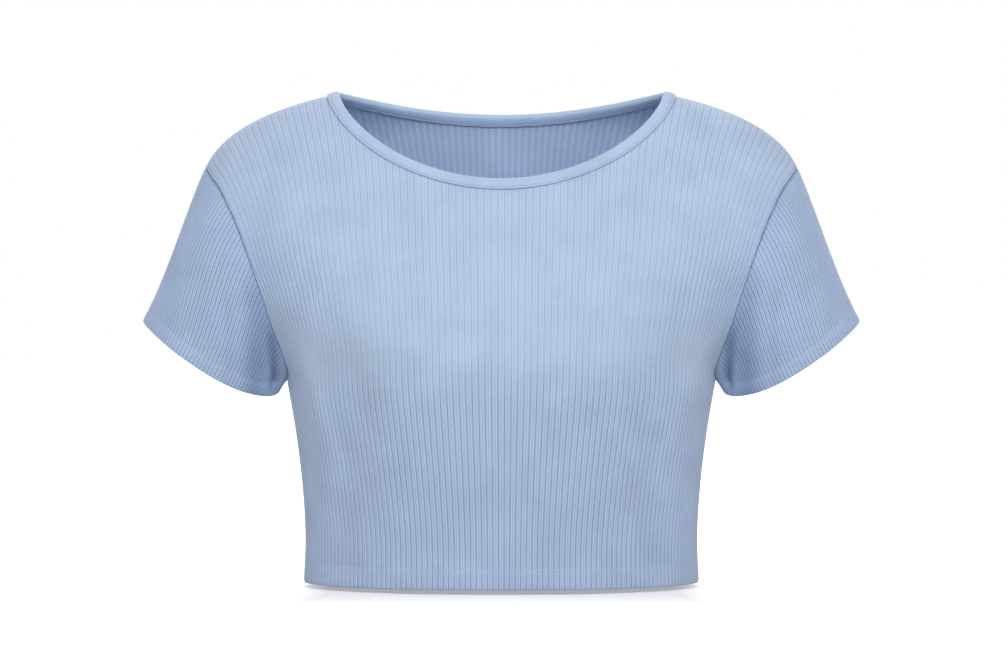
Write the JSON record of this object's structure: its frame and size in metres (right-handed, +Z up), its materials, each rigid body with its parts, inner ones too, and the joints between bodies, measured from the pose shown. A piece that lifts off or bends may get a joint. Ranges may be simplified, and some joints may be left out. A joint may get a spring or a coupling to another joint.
{
  "type": "crop top",
  "caption": "Short ribbed tee with a wide scoop neck, short set-in sleeves and a straight cropped hem, filled out as if worn.",
  "frame": {"origin": "midway between the high points of the shoulders, where the wearer holds the garment up", "axes": "+Z up, front of the garment towards -Y, the wearer's left sleeve towards +X"},
  "size_m": [0.5444, 0.2068, 0.3726],
  "materials": {
    "rib_knit": "matt ribbed cotton knit, light blue",
    "sleeve_knit": "matt ribbed cotton knit, light blue, a little finer",
    "binding_knit": "matt plain knit strip, light blue, folded over the neck edge"
  },
  "bodies": {
    "root": {"front": "rib_knit", "back": "rib_knit", "sleeve_left": "sleeve_knit", "sleeve_right": "sleeve_knit", "neck_binding": "binding_knit"}
  },
  "joints": []
}
